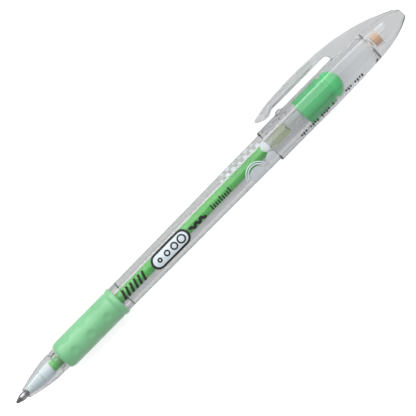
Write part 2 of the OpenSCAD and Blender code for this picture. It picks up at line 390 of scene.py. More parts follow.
def carve(base: bpy.types.Object, other: bpy.types.Object, how: str) -> None:
    """Joins or cuts one closed object with another and removes the other.

    Args:
        base: The object that is changed.
        other: The object that is added or taken away.
        how: UNION or DIFFERENCE.
    """
    modifier = base.modifiers.new("carve", "BOOLEAN")
    modifier.operation = how
    modifier.object = other
    modifier.solver = "EXACT"
    bpy.context.view_layer.update()
    result = bpy.data.meshes.new_from_object(base.evaluated_get(bpy.context.evaluated_depsgraph_get()))
    base.modifiers.clear()
    base.data = result
    bpy.data.objects.remove(other)


# ---------------------------------------------------------------- node groups


class Sketch:
    """Adds and links nodes in one tree."""

    def __init__(self, tree: bpy.types.NodeTree) -> None:
        """Keeps the tree that the nodes go in."""
        self.tree = tree

    def add(self, kind: str, settings: dict | None = None, **inputs: object) -> bpy.types.Node:
        """Adds a node.

        Args:
            kind: The node's type.
            settings: Values of the node's own properties.
            inputs: Socket values or links, by socket name with _ for a space.

        Returns:
            The new node.
        """
        node = self.tree.nodes.new(kind)
        for key, value in (settings or {}).items():
            setattr(node, key, value)
        for key, value in inputs.items():
            self.put(node, key.replace("_", " "), value)
        return node

    def put(self, node: bpy.types.Node, name: str, value: object) -> None:
        """Sets or links the first free input of that name."""
        sockets = [s for s in node.inputs if s.name == name and s.enabled and not s.is_linked]
        if isinstance(value, bpy.types.NodeSocket):
            self.tree.links.new(value, sockets[0])
        else:
            sockets[0].default_value = value


def new_group(name: str, takes: dict[str, tuple[str, object]], gives: dict[str, str]) -> Sketch:
    """Starts a shader node group with named sockets.

    Args:
        name: The group's name.
        takes: Input name to (socket type, default).
        gives: Output name to socket type.

    Returns:
        A sketch of the group's tree.
    """
    tree = bpy.data.node_groups.new(name, "ShaderNodeTree")
    for key, (kind, default) in takes.items():
        socket = tree.interface.new_socket(key, in_out="INPUT", socket_type=kind)
        socket.default_value = default
    for key, kind in gives.items():
        tree.interface.new_socket(key, in_out="OUTPUT", socket_type=kind)
    return Sketch(tree)


class Groups:
    """The effects that more than one finish uses."""

    NUMBER = "NodeSocketFloat"
    COLOUR = "NodeSocketColor"
    VECTOR = "NodeSocketVector"

    def __init__(self) -> None:
        """Builds every group once."""
        self.surface = self.make_surface()
        self.tint = self.make_tint()
        self.specks = self.make_specks()

    def make_surface(self) -> bpy.types.NodeTree:
        """Fine moulding marks: uneven gloss, a slow waviness and a fine grain in the normal."""
        sketch = new_group(
            "moulded surface",
            {
                "Fine Scale": (self.NUMBER, 9000.0),
                "Flow Scale": (self.NUMBER, 160.0),
                "Gloss Low": (self.NUMBER, 0.05),
                "Gloss High": (self.NUMBER, 0.15),
                "Fine Height": (self.NUMBER, 0.000002),
                "Flow Height": (self.NUMBER, 0.00002),
            },
            {"Roughness": self.NUMBER, "Normal": self.VECTOR},
        )
        put = sketch.add("NodeGroupInput").outputs
        where = sketch.add("ShaderNodeTexCoord").outputs["Object"]
        flow = sketch.add("ShaderNodeTexNoise", Vector=where, Scale=put["Flow Scale"], Detail=2.0)
        fine = sketch.add("ShaderNodeTexNoise", Vector=where, Scale=put["Fine Scale"], Detail=3.0)
        gloss = sketch.add(
            "ShaderNodeMapRange",
            Value=flow.outputs["Fac"],
            From_Min=0.3,
            From_Max=0.7,
            To_Min=put["Gloss Low"],
            To_Max=put["Gloss High"],
        )
        wave = sketch.add(
            "ShaderNodeBump", Strength=1.0, Distance=put["Flow Height"], Height=flow.outputs["Fac"]
        )
        grain = sketch.add(
            "ShaderNodeBump",
            Strength=1.0,
            Distance=put["Fine Height"],
            Height=fine.outputs["Fac"],
            Normal=wave.outputs["Normal"],
        )
        out = sketch.add("NodeGroupOutput")
        sketch.put(out, "Roughness", gloss.outputs["Result"])
        sketch.put(out, "Normal", grain.outputs["Normal"])
        return sketch.tree

    def make_tint(self) -> bpy.types.NodeTree:
        """A colour that drifts a little from place to place."""
        sketch = new_group(
            "colour drift",
            {
                "Color A": (self.COLOUR, (1, 1, 1, 1)),
                "Color B": (self.COLOUR, (0.9, 0.9, 0.9, 1)),
                "Scale": (self.NUMBER, 120.0),
            },
            {"Color": self.COLOUR},
        )
        put = sketch.add("NodeGroupInput").outputs
        where = sketch.add("ShaderNodeTexCoord").outputs["Object"]
        cloud = sketch.add("ShaderNodeTexNoise", Vector=where, Scale=put["Scale"], Detail=4.0)
        share = sketch.add(
            "ShaderNodeMapRange", Value=cloud.outputs["Fac"], From_Min=0.35, From_Max=0.65
        )
        mix = sketch.add(
            "ShaderNodeMix",
            {"data_type": "RGBA"},
            Factor=share.outputs["Result"],
            A=put["Color A"],
            B=put["Color B"],
        )
        out = sketch.add("NodeGroupOutput")
        sketch.put(out, "Color", mix.outputs[2])
        return sketch.tree

    def make_specks(self) -> bpy.types.NodeTree:
        """Sparse small marks, such as dust in rubber or pinholes in print, as a mask."""
        sketch = new_group(
            "sparse specks",
            {"Scale": (self.NUMBER, 2500.0), "Amount": (self.NUMBER, 0.12)},
            {"Mask": self.NUMBER},
        )
        put = sketch.add("NodeGroupInput").outputs
        where = sketch.add("ShaderNodeTexCoord").outputs["Object"]
        cells = sketch.add("ShaderNodeTexVoronoi", Vector=where, Scale=put["Scale"])
        mask = sketch.add(
            "ShaderNodeMapRange",
            Value=cells.outputs["Distance"],
            From_Min=put["Amount"],
            From_Max=0.0,
            To_Min=0.0,
            To_Max=1.0,
        )
        out = sketch.add("NodeGroupOutput")
        sketch.put(out, "Mask", mask.outputs["Result"])
        return sketch.tree


GROUPS = Groups()


# ---------------------------------------------------------------- finishes


class Gloss(Enum):
    """How a surface shines, as the lowest and highest roughness over it."""

    POLISHED = (0.015, 0.035)
    MOULDED = (0.16, 0.26)
    FROSTED = (0.15, 0.2)
    SATIN = (0.34, 0.46)
    MATT = (0.6, 0.75)


@dataclass(frozen=True)
class Finish:
    """An opaque finish of two close colours.

    Attributes:
        name: The material's name.
        slot: The record's material slot that it belongs to, empty on print.
        colour: The main colour, linear.
        drift: The colour that it drifts towards, linear.
        gloss: How it shines.
        grain: Height of the fine grain, in metres.
        flow: Height of the slow waviness, in metres.
        grain_scale: Number of grains in a metre.
        metallic: 1 on bare metal.
        coat: Weight of a clear coat.
        subsurface: Share of light that spreads below the surface.
        sheen: Weight of a soft pale sheen at grazing angles.
        specks: Strength of small pale marks.
        alpha: 1 where it hides what lies behind it.
    """

    name: str
    slot: str
    colour: Colour
    drift: Colour
    gloss: Gloss = Gloss.MOULDED
    grain: float = 2e-6
    flow: float = 1e-5
    grain_scale: float = 9000.0
    metallic: float = 0.0
    coat: float = 0.0
    subsurface: float = 0.0
    sheen: float = 0.0
    specks: float = 0.0
    alpha: float = 1.0

    def surface(self, sketch: Sketch) -> bpy.types.Node:
        """Places the moulded-surface group with this finish's values."""
        low, high = self.gloss.value
        return sketch.add(
            "ShaderNodeGroup",
            {"node_tree": GROUPS.surface},
            Fine_Scale=self.grain_scale,
            Gloss_Low=low,
            Gloss_High=high,
            Fine_Height=self.grain,
            Flow_Height=self.flow,
        )

    def colours(self, sketch: Sketch) -> bpy.types.NodeSocket:
        """The drifting colour, with pale specks where the finish has them."""
        tint = sketch.add(
            "ShaderNodeGroup", {"node_tree": GROUPS.tint}, Color_A=self.colour, Color_B=self.drift
        )
        if not self.specks:
            return tint.outputs["Color"]
        specks = sketch.add("ShaderNodeGroup", {"node_tree": GROUPS.specks})
        share = sketch.add(
            "ShaderNodeMath", {"operation": "MULTIPLY"}, Value=specks.outputs["Mask"]
        )
        share.inputs[1].default_value = self.specks
        pale = tuple(min(1.0, c * 1.35 + 0.03) for c in self.colour[:3]) + (1.0,)
        mix = sketch.add(
            "ShaderNodeMix",
            {"data_type": "RGBA"},
            Factor=share.outputs[0],
            A=tint.outputs["Color"],
            B=pale,
        )
        return mix.outputs[2]

    def build(self) -> bpy.types.Material:
        """Makes the material.

        Returns:
            The new material.
        """
        material = bpy.data.materials.new(self.name)
        material.use_nodes = True
        material.node_tree.nodes.clear()
        sketch = Sketch(material.node_tree)
        surface = self.surface(sketch)
        shader = sketch.add(
            "ShaderNodeBsdfPrincipled",
            Base_Color=self.colours(sketch),
            Roughness=surface.outputs["Roughness"],
            Normal=surface.outputs["Normal"],
            Metallic=self.metallic,
            Coat_Weight=self.coat,
            Subsurface_Weight=self.subsurface,
            Subsurface_Scale=0.0015,
            Sheen_Weight=self.sheen,
            Sheen_Roughness=0.4,
            Alpha=self.alpha,
        )
        sketch.add("ShaderNodeOutputMaterial", Surface=shader.outputs["BSDF"])
        return material


@dataclass(frozen=True)
class ClearFinish(Finish):
    """A clear moulded plastic that lets lamps shine through to what it holds.

    Attributes:
        ior: Refractive index.
        lamp: Colour of the lamp light that comes through.
    """

    ior: float = 1.49
    lamp: Colour = (0.86, 0.87, 0.88, 1.0)

    def build(self) -> bpy.types.Material:
        """Makes the material.

        Returns:
            The new material.
        """
        material = bpy.data.materials.new(self.name)
        material.use_nodes = True
        material.node_tree.nodes.clear()
        sketch = Sketch(material.node_tree)
        surface = self.surface(sketch)
        shader = sketch.add(
            "ShaderNodeBsdfPrincipled",
            Base_Color=self.colours(sketch),
            Roughness=surface.outputs["Roughness"],
            Normal=surface.outputs["Normal"],
            IOR=self.ior,
            Transmission_Weight=1.0,
        )
        through = sketch.add("ShaderNodeBsdfTransparent", Color=self.lamp)
        sight = sketch.add("ShaderNodeLightPath")
        mix = sketch.add("ShaderNodeMixShader")
        sketch.tree.links.new(sight.outputs["Is Shadow Ray"], mix.inputs[0])
        sketch.tree.links.new(shader.outputs["BSDF"], mix.inputs[1])
        sketch.tree.links.new(through.outputs["BSDF"], mix.inputs[2])
        sketch.add("ShaderNodeOutputMaterial", Surface=mix.outputs["Shader"])
        return material


def linear(red: int, green: int, blue: int) -> Colour:
    """A display colour of 0 to 255 steps as a linear colour."""
    steps = [v / 255 for v in (red, green, blue)]
    return (*[v / 12.92 if v <= 0.04045 else ((v + 0.055) / 1.055) ** 2.4 for v in steps], 1.0)


def grey(value: float, blue: float = 0.0) -> Colour:
    """A linear grey, a little bluer if asked."""
    return (value, value + blue / 3, value + blue, 1.0)


class Finishes:
    """Every finish of the pen, each built once."""

    def __init__(self) -> None:
        """Builds the materials."""
        made = (
            ClearFinish("clear styrene", "clear_plastic", grey(0.90, 0.004), grey(0.89, 0.004),
                        Gloss.POLISHED, flow=3e-6),
            ClearFinish("clear cap styrene", "clear_plastic", grey(0.965, 0.006), grey(0.955, 0.006),
                        Gloss.POLISHED, flow=4e-6),
            ClearFinish("frosted nose styrene", "clear_plastic", grey(0.965, 0.012),
                        grey(0.955, 0.012), Gloss.FROSTED, flow=3e-6),
            ClearFinish("clear tube", "tube_plastic", (0.95, 0.98, 0.95, 1), (0.94, 0.98, 0.94, 1),
                        Gloss.MOULDED, flow=1e-6),
            ClearFinish("follower grease", "follower_grease", (0.84, 0.9, 0.52, 1.0),
                        (0.92, 0.94, 0.7, 1), Gloss.MOULDED, flow=4e-5, ior=1.46,
                        lamp=(0.8, 0.86, 0.55, 1.0)),
            Finish("milky plastic", "milky_plastic", linear(180, 192, 194), linear(168, 181, 182),
                   Gloss.SATIN, subsurface=0.3),
            Finish("green gel ink", "green_ink", linear(66, 198, 60), linear(54, 184, 50),
                   Gloss.MOULDED, flow=1e-5),
            Finish("grip rubber", "grip_rubber", linear(110, 171, 124), linear(102, 163, 116),
                   Gloss.SATIN, grain=5e-6, grain_scale=6500.0, specks=0.08, sheen=0.9),
            Finish("green plug plastic", "green_plastic", linear(58, 186, 106), linear(50, 178, 98),
                   Gloss.MOULDED, grain=1e-6, coat=0.1, subsurface=0.1),
            Finish("turned steel", "steel", linear(158, 156, 158), linear(128, 126, 130),
                   Gloss.MOULDED, metallic=1.0, grain_scale=14000.0),
            Finish("seal rubber", "seal_rubber", linear(204, 168, 140), linear(190, 152, 124),
                   Gloss.MATT, grain=8e-6, specks=0.15),
            Finish("black print", "", grey(0.001), grey(0.003), Gloss.MATT, grain=1e-6, specks=0.02),
            Finish("white print", "", linear(196, 206, 212), linear(186, 196, 202), Gloss.SATIN,
                   grain=2e-6),
            Finish("thin white print", "", linear(206, 212, 216), linear(192, 200, 206), Gloss.SATIN,
                   grain=2e-6, alpha=0.4),
        )
        self.built = {finish.name: (finish.build(), finish.slot) for finish in made}

    def dress(self, piece: bpy.types.Object, name: str) -> bpy.types.Object:
        """Gives a piece a finish.

        Args:
            piece: The object.
            name: The finish's name.

        Returns:
            The same object.
        """
        material, slot = self.built[name]
        piece.data.materials.clear()
        piece.data.materials.append(material)
        return piece


# ---------------------------------------------------------------- sub-assemblies


@dataclass
class Assembly:
    """A sub-assembly that builds pieces, dresses them and lets them ride.

    Attributes:
        finishes: The built materials.
        made: Names of the pieces made so far.
    """

    finishes: Finishes
    made: list[str] = field(default_factory=list)

    def add(
        self, mesh: Mesh, name: str, finish: str, body: str, *nodes: str, sharp: float = 32
    ) -> bpy.types.Object:
        """Finishes a mesh as a piece that rides on a body.

        Args:
            mesh: The mesh, in the pen's own frame.
            name: The piece's name.
            finish: The finish's name.
            body: The CAD body that it rides on.
            nodes: The CAD nodes that it stands for.
            sharp: Edges that turn by more than this stay crisp, in degrees.

        Returns:
            The new object.
        """
        piece = self.finishes.dress(mesh.piece(name, sharp), finish)
        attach(piece, body)
        if nodes:
            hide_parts(*nodes)
        self.made.append(name)
        return piece

    def report(self) -> None:
        """Logs what the sub-assembly has made."""
        LOG.info("%s: %s", type(self).__name__, ", ".join(self.made))


@dataclass
class WritingPoint(Assembly):
    """The steel point and the ball that turns in it. All sizes are in millimetres."""

    ball_r: float = 0.4
    lip_x: float = 0.256
    lip_r: float = 0.45
    cone_x: float = 2.1
    shaft_r: float = 1.15
    shank_r: float = 0.75
    channel_r: float = 0.3
    cup_r: float = 0.43
    seat_x: float = 0.95
    step: float = 0.9

    def build(self) -> None:
        """Builds the ball and the point."""
        arc = [
            (self.ball_r * (1 - math.cos(a)), self.ball_r * math.sin(a))
            for a in (math.pi * i / 24 for i in range(25))
        ]
        arc[0], arc[-1] = (0.0, 0.0), (2 * self.ball_r, 0.0)
        self.add(Mesh().lathe(arc, 48), "writing_ball", "turned steel", "ball", "ball")
        end = PEN.span("metal_point")[1]
        nose = PEN.span("nose_cone")[0]
        outline = rounded(
            [
                (self.lip_x, self.lip_r - 0.06, 0),
                (self.lip_x, self.lip_r, 0.03),
                (self.cone_x, self.shaft_r - 0.08, 0.2),
                (self.cone_x + 0.15, self.shaft_r, 0.05),
                (nose - 0.35, self.shaft_r, 0.03),
                (nose - 0.3, self.shaft_r - 0.05, 0),
                (nose - 0.2, self.shaft_r - 0.05, 0),
                (nose - 0.15, self.shaft_r, 0.03),
                (nose + self.step, self.shaft_r, 0.08),
                (nose + self.step, self.shank_r, 0),
                (end, self.shank_r, 0.1),
                (end, self.channel_r, 0),
                (self.seat_x, self.channel_r, 0),
                (self.seat_x - 0.12, self.cup_r, 0.03),
                (self.ball_r, self.cup_r, 0.03),
            ]
        )
        self.add(Mesh().lathe(outline, 96), "steel_point", "turned steel", "refill", "metal_point")


@dataclass
class Refill(Assembly):
    """Tip holder, tube, ink and follower. All sizes are in millimetres."""

    tube_r: float = 1.85
    bore_r: float = 1.35
    contact: float = 0.03
    held: float = 1.5
    holder_r: float = 2.3

    def lean(self) -> Flat:
        """Station that the tube leans about, and its lean towards the clip, from its box at rest."""
        low, high = node_box("ink_tube")
        size = (high - low) / MM
        spread = math.cos(PEN.roll) - math.sin(PEN.roll)
        angle = math.asin((size.y - size.z) / spread / size.x)
        return PEN.span("ink_tube")[0] + self.held, angle

    def build(self) -> None:
        """Builds the four pieces."""
        self.build_holder()
        start, end = PEN.span("ink_tube")
        outline = rounded(
            [
                (start, self.bore_r, 0),
                (start, self.tube_r, 0.1),
                (end, self.tube_r, 0.12),
                (end, self.bore_r, 0.1),
            ]
        )
        tube = Mesh().lathe(outline, 96).lean(*self.lean())
        self.add(tube, "tube", "clear tube", "refill", "ink_tube")
        self.column("ink", "green gel ink", "ink_column", 0.7)
        self.column("grease_plug", "follower grease", "follower", 0.9)

    def build_holder(self) -> None:
        """Builds the milky holder, slim in front and fluted by two shallow rings."""
        start, end = PEN.span("tip_holder")
        seat = PEN.span("ink_tube")[0]
        outline = rounded(
            [
                (start, 0.77, 0),
                (start, 1.25, 0.15),
                (start + 3.4, 1.95, 0.6),
                (start + 5.2, 2.2, 0.4),
                (start + 5.6, 2.2, 0.05),
                (start + 5.75, 2.05, 0.05),
                (start + 6.05, 2.05, 0.05),
                (start + 6.2, self.holder_r, 0.05),
                (end - 0.5, self.holder_r, 0.1),
                (end, self.holder_r - 0.2, 0.1),
                (end, self.tube_r + 0.01, 0),
                (seat - 0.05, self.tube_r + 0.01, 0),
                (seat - 0.05, 0.77, 0),
            ]
        )
        self.add(Mesh().lathe(outline, 96), "holder", "milky plastic", "refill", "tip_holder")

    def column(self, name: str, finish: str, node: str, bow: float) -> None:
        """A column of liquid that wets the tube and ends in a curved face.

        Args:
            name: The piece's name.
            finish: The finish's name.
            node: The CAD node that it stands for.
            bow: Depth of the curved end.
        """
        start, end = PEN.span(node)
        radius = self.bore_r + self.contact
        face = [
            (end - bow * (1 - math.cos(a)), radius * math.cos(a))
            for a in (math.pi / 2 * i / 10 for i in range(10))
        ]
        outline = [(start, 0.0), (start, radius), *face, (end - bow, 0.0)]
        self.add(Mesh().lathe(outline, 96).lean(*self.lean()), name, finish, "refill", node)


@dataclass
class NoseCone(Assembly):
    """The screwed nose. All sizes are in millimetres."""

    front_r: float = 1.75
    rim_r: float = 3.75
    wall: float = 0.6
    spigot_r: float = 2.85
    bore_r: float = 2.4
    hole_r: float = 1.2
    spigot_l: float = 6.6
    thread_pitch: float = 1.0
    thread_h: float = 0.14

    def outer(self, x: float) -> float:
        """Outer radius at a station."""
        start, end = self.ends()
        share = min(max((x - start) / (end - start), 0.0), 1.0)
        return self.front_r + (self.rim_r - self.front_r) * math.sin(share * math.pi / 2) ** 1.1

    def ends(self) -> Flat:
        """First station of the nose and the station of its rim."""
        start, end = PEN.span("nose_cone")
        return start, end - self.spigot_l

    def ridge(self, along: float) -> float:
        """Radius of the spigot's ridges at a distance behind the rim."""
        rise = 0.5 - 0.5 * math.cos(TURN * along / self.thread_pitch)
        return self.spigot_r - self.thread_h * rise

    def build(self) -> None:
        """Builds the shell with its rounded lip and ridged spigot."""
        start, rim = self.ends()
        end = rim + self.spigot_l
        shoulder = start + 0.35
        front = rounded(
            [
                (start, self.hole_r, 0.05),
                (start, self.front_r - 0.1, 0.2),
                (shoulder, self.outer(shoulder), 0.1),
            ]
        )
        outside = [(x, self.outer(x)) for x in stations(start + 0.6, rim - 0.3, 48)]
        ridges = [(x, self.ridge(x - rim)) for x in stations(rim + 0.6, end - 0.5, 72)]
        inside = [
            (x, max(min(self.outer(x) - self.wall, self.bore_r), self.hole_r))
            for x in reversed(stations(start + 0.9, rim - 0.3, 40))
        ]
        outline = [
            *front,
            *outside,
            (rim - 0.12, self.rim_r - 0.02),
            (rim, self.rim_r - 0.14),
            (rim, self.spigot_r + 0.05),
            (rim + 0.1, self.spigot_r),
            *ridges,
            (end - 0.2, self.spigot_r - 0.05),
            (end, self.spigot_r - 0.25),
            (end, self.bore_r),
            *inside,
        ]
        shell = Mesh().lathe(outline)
        self.add(shell, "nose_shell", "frosted nose styrene", "nose_cone", "nose_cone")


@dataclass
class Barrel(Assembly):
    """The clear barrel. All sizes are in millimetres."""

    neck_r: float = 3.65
    seat_r: float = 3.4
    front_r: float = 4.5
    rear_r: float = 4.93
    cavity_r: float = 3.35
    bore_r: float = 2.55
    screw_r: float = 2.9

    def outer(self, x: float) -> float:
        """Outer radius at a station behind the grip."""
        grip_end = PEN.span("grip_sleeve")[1]
        mouth = PEN.span("cap")[0]
        share = min(max((x - grip_end) / (mouth - grip_end), 0.0), 1.0)
        return self.front_r + (self.rear_r - self.front_r) * share

    def build(self) -> None:
        """Builds the barrel as one closed turning."""
        start, end = PEN.span("barrel")
        seat, grip_end = PEN.span("grip_sleeve")
        mouth = PEN.span("cap")[0]
        screw_end = PEN.span("nose_cone")[1] + 0.5
        cavity = grip_end + 2.2
        outline = rounded(
            [
                (start, self.screw_r, 0.1),
                (start, self.neck_r, 0.15),
                (seat, self.neck_r + 0.12, 0.05),
                (seat, self.seat_r, 0),
                (grip_end, self.seat_r, 0),
                (grip_end, self.front_r, 0.25),
                (mouth, self.rear_r, 0),
                (end, self.rear_r, 0.75),
                (end, self.cavity_r, 0.12),
                (cavity + 0.15, self.cavity_r, 0.75),
                (cavity, self.bore_r, 0.06),
                (screw_end + 0.3, self.bore_r, 0),
                (screw_end, self.screw_r, 0),
            ],
            step=9,
        )
        self.add(Mesh().lathe(outline, 160), "barrel_tube", "clear styrene", "barrel", "barrel")


@dataclass
class Grip(Assembly):
    """The rubber sleeve with its rows of shallow dimples. All sizes are in millimetres."""

    radius: float = 4.65
    ring_r: float = 4.85
    seat_r: float = 3.4
    nose_l: float = 2.4
    ring_l: float = 1.5
    groove: float = 0.22
    depth: float = 0.28
    dimple_long: float = 1.6
    dimple_wide: float = 1.5
    pitch: float = 6.9
    rows: int = 3
    around: int = 6
    turn: float = math.radians(-16)

    def build(self) -> None:
        """Builds the sleeve."""
        start, end = PEN.span("grip_sleeve")
        middle = start + (end - start) / 2 - 0.5
        homes = [middle + (row - (self.rows - 1) / 2) * self.pitch for row in range(self.rows)]

        def dent(x: float, r: float, angle: float) -> float:
            """The radius after the nearest dimple has pressed it in."""
            if r < self.radius - 0.02:
                return r
            step = TURN / self.around
            off = (angle - self.turn + step / 2) % step - step / 2
            near = min(homes, key=lambda home: abs(home - x))
            gap = math.hypot((x - near) / self.dimple_long, off * self.radius / self.dimple_wide)
            return r - self.depth * (1 - min(gap, 1.0) ** 2) ** 1.5

        front = [
            (start + self.nose_l * (1 - math.cos(a)), 3.8 + (self.radius - 3.8) * math.sin(a))
            for a in (math.pi / 2 * i / 14 for i in range(14))
        ]
        straight = [
            (x, self.radius) for x in stations(start + self.nose_l, end - self.ring_l - 1.0, 150)
        ]
        rear = rounded(
            [
                (end - self.ring_l - 0.95, self.radius - 0.021, 0),
                (end - self.ring_l - 0.65, self.radius - self.groove, 0.1),
                (end - self.ring_l - 0.35, self.radius - 0.021, 0.1),
                (end - self.ring_l + 0.1, self.ring_r, 0.25),
                (end - 0.05, self.ring_r, 0.3),
                (end, self.ring_r - 0.45, 0.1),
                (end, self.seat_r, 0),
                (start, self.seat_r, 0),
            ]
        )
        mesh = Mesh().lathe([*front, *straight, *rear], 192, dent)
        self.add(mesh, "grip", "grip rubber", "barrel", "grip_sleeve", sharp=50)


@dataclass
class EndPlug(Assembly):
    """The green plug. All sizes are in millimetres."""

    bore_r: float = 3.35
    contact: float = 0.03
    neck_r: float = 4.05
    neck_l: float = 0.9
    head_r: float = 4.55

    def build(self) -> None:
        """Builds the plug with its domed head."""
        start, end = PEN.span("end_plug")
        rim = PEN.span("barrel")[1]
        body_r = self.bore_r + self.contact
        base = rim + self.neck_l
        dome = [
            (base + 0.5 + (end - base - 0.5) * math.sin(a), self.head_r * math.cos(a))
            for a in (math.pi / 2 * i / 20 for i in range(21))
        ]
        dome[-1] = (end, 0.0)
        outline = [
            (start, 0.0),
            (start, body_r - 0.2),
            (start + 0.2, body_r),
            (rim - 0.15, body_r),
            (rim + 0.02, self.bore_r - 0.12),
            (rim + 0.02, self.neck_r),
            (base - 0.05, self.neck_r),
            (base, self.head_r - 0.3),
            (base + 0.1, self.head_r - 0.1),
            (base + 0.25, self.head_r - 0.02),
            *dome,
        ]
        plug = Mesh().lathe(outline)
        self.add(plug, "end_plug_dome", "green plug plastic", "barrel", "end_plug", sharp=40)


@dataclass
class Cap(Assembly):
    """The clear cap with its clip, and the seal in its nose. All sizes are in millimetres."""

    radius: float = 5.55
    bore_r: float = 5.0
    end_r: float = 1.65
    straight_l: float = 30.6
    nose_l: float = 13.6
    seal_r: float = 1.75
    rise: float = 4.75
    clip_t: float = 2.95
    clip_w: float = 4.4
    setback: float = 2.0
    bump_drop: float = 0.9
    nub_h: float = 0.65
    edge_r: float = 0.45
    seal_rings: int = 4
    seal_ring_h: float = 0.14
    groove: tuple[Flat, ...] = ((0.08, 0.0), (0.2, 0.3), (0.5, 0.34), (0.8, 0.3), (0.92, 0.0))

    def __post_init__(self) -> None:
        """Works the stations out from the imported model."""
        self.mouth, self.end = PEN.span("cap")
        self.floor = self.end - self.nose_l
        self.seal_x, self.seal_end = PEN.span("tip_seal")
        self.tip = self.mouth + self.setback
        self.reach = self.end - self.tip
        self.crest = self.radius + self.rise
        self.inner = self.crest - self.clip_t
        self.web = self.tip + 0.545 * self.reach
        self.outer_edge = self.outer_line()
        self.inner_edge = self.inner_line()

    def outer_line(self) -> list[Flat]:
        """The clip's outer edge from its tip to the nose of the cap."""
        start = (self.tip, self.radius + 3.05)
        top = (self.tip + 0.33 * self.reach, self.crest)
        shoulder = (self.end - 8.6, self.radius + 0.35)
        rise = cubic(
            start, (start[0] + 4, start[1] + 1.4), (self.tip + 0.2 * self.reach, self.crest), top
        )
        fall = cubic(
            top,
            (self.tip + 0.53 * self.reach, self.crest),
            (self.tip + 0.68 * self.reach, self.crest - 1.1),
            shoulder,
        )
        return [start, *rise, *fall, (self.end - 1.4, self.end_r + 1.0)]

    def inner_line(self) -> list[Flat]:
        """The clip's inner edge, over the contact bump and down into the root."""
        start = (self.tip + 0.1, self.radius + 2.35)
        bump = (self.tip + 3.9, self.inner - self.bump_drop)
        level = (bump[0] + 3.2, self.inner)
        down = cubic(start, (start[0] + 1.6, start[1] - 0.9), (bump[0] - 1.2, bump[1]), bump)
        up = cubic(bump, (bump[0] + 1.3, bump[1]), (bump[0] + 1.4, self.inner), level)
        last = (self.web - 1.6, self.inner)
        close = cubic(
            last,
            (self.web - 0.3, self.inner),
            (self.web + 0.1, self.radius + 0.9),
            (self.web + 0.1, self.radius - 0.6),
            16,
        )
        return [start, *down, *up, last, *close, (self.web + 0.6, 0.8), (self.end, 0.8)]

    def half_width(self, x: float) -> float:
        """Half the clip's width at a station, round at the tip and slimmer at the nose."""
        tip = min((x - self.tip) / 1.6, 1.0)
        plan = math.sqrt(max(1 - (1 - tip) ** 2, 0.0))
        slim = 1 - 0.45 * ease((x - self.floor) / (self.end - self.floor))
        return self.clip_w / 2 * (0.35 + 0.65 * plan) * slim

    def section(self, x: float) -> list[Vector]:
        """One rounded section of the clip, square to the pen axis.

        Args:
            x: The station.

        Returns:
            The section's points in order.
        """
        low, high = reading(self.inner_edge, x), reading(self.outer_edge, x)
        share = min((x - self.tip) / 0.5, 1.0)
        pinch = 0.12 + 0.88 * math.sqrt(max(1 - (1 - share) ** 2, 0.0))
        middle, half = (low + high) / 2, (high - low) / 2 * pinch
        width = self.half_width(x)
        bend = min(self.edge_r, 0.85 * half, 0.85 * width)
        fade = ease((x - self.tip - 1) / 4) * (1 - ease((x - self.web + 9) / 7))
        points = []
        for turn, (side, up) in enumerate(((1, 1), (-1, 1), (-1, -1), (1, -1))):
            cy, cz = middle + up * (half - bend), side * (width - bend)
            for k in range(6):
                angle = math.pi / 2 * (turn + k / 5)
                points.append(Vector((x, cy + bend * math.sin(angle), cz + bend * math.cos(angle))))
            if turn % 2:
                for across, depth in self.groove:
                    y = middle + up * (half - bend) * (1 - 2 * across)
                    points.append(Vector((x, y, side * (width - depth * fade))))
        return points

    def clip_stations(self) -> list[float]:
        """Stations along the clip, close together at its tip, bump and root."""
        near = [self.tip + 0.5 * (1 - math.cos(math.pi / 2 * i / 8)) for i in range(9)]
        along = stations(self.tip + 0.8, self.web - 1.8, 84)
        root = stations(self.web - 1.6, self.web + 0.6, 24)
        back = stations(self.web + 1.2, self.end - 1.4, 56)
        return [*near, *along, *root, *back]

    def shell(self) -> Mesh:
        """The cap's round outside as a full turning."""
        straight_end = self.mouth + self.straight_l
        mouth = rounded(
            [
                (self.mouth, 0, 0),
                (self.mouth, self.radius, 0.12),
                (straight_end, self.radius, 0),
            ],
            15,
        )
        taper = cubic(
            (straight_end, self.radius),
            (self.mouth + 36, self.radius),
            (self.floor - 4, self.radius - 0.3),
            (self.floor + 0.2, self.radius - 0.45),
            20,
        )
        nose = cubic(
            taper[-1],
            (self.floor + 5, self.radius - 0.75),
            (self.end - 4.4, self.end_r + 2.2),
            (self.end - 1.0, self.end_r + 0.45),
            24,
        )
        tip = cubic(
            nose[-1],
            (self.end - 0.4, self.end_r + 0.2),
            (self.end, self.end_r),
            (self.end, self.end_r - 0.5),
            8,
        )
        return Mesh().lathe([*mouth, *taper, *nose, *tip, (self.end, 0.0)], 160)

    def hollow(self) -> Mesh:
        """The cavity and the seal's pocket as a full turning."""
        body_end = PEN.span("end_plug")[1]
        outline = rounded(
            [
                (self.mouth - 1, 0, 0),
                (self.mouth - 1, self.bore_r + 0.22, 0),
                (self.mouth + 0.05, self.bore_r + 0.22, 0.15),
                (self.mouth + 0.5, self.bore_r, 0.15),
                (body_end, self.bore_r, 2),
                (self.floor - 2.6, self.bore_r - 0.25, 4),
                (self.floor - 0.7, self.bore_r - 0.75, 0.9),
                (self.floor, self.bore_r - 1.9, 0.5),
                (self.floor, self.seal_r + 0.3, 0),
                (self.floor + 0.3, self.seal_r, 0.1),
                (self.seal_end, self.seal_r, 0.15),
                (self.seal_end, 0, 0),
            ],
            9,
        )
        return Mesh().lathe(outline, 160)

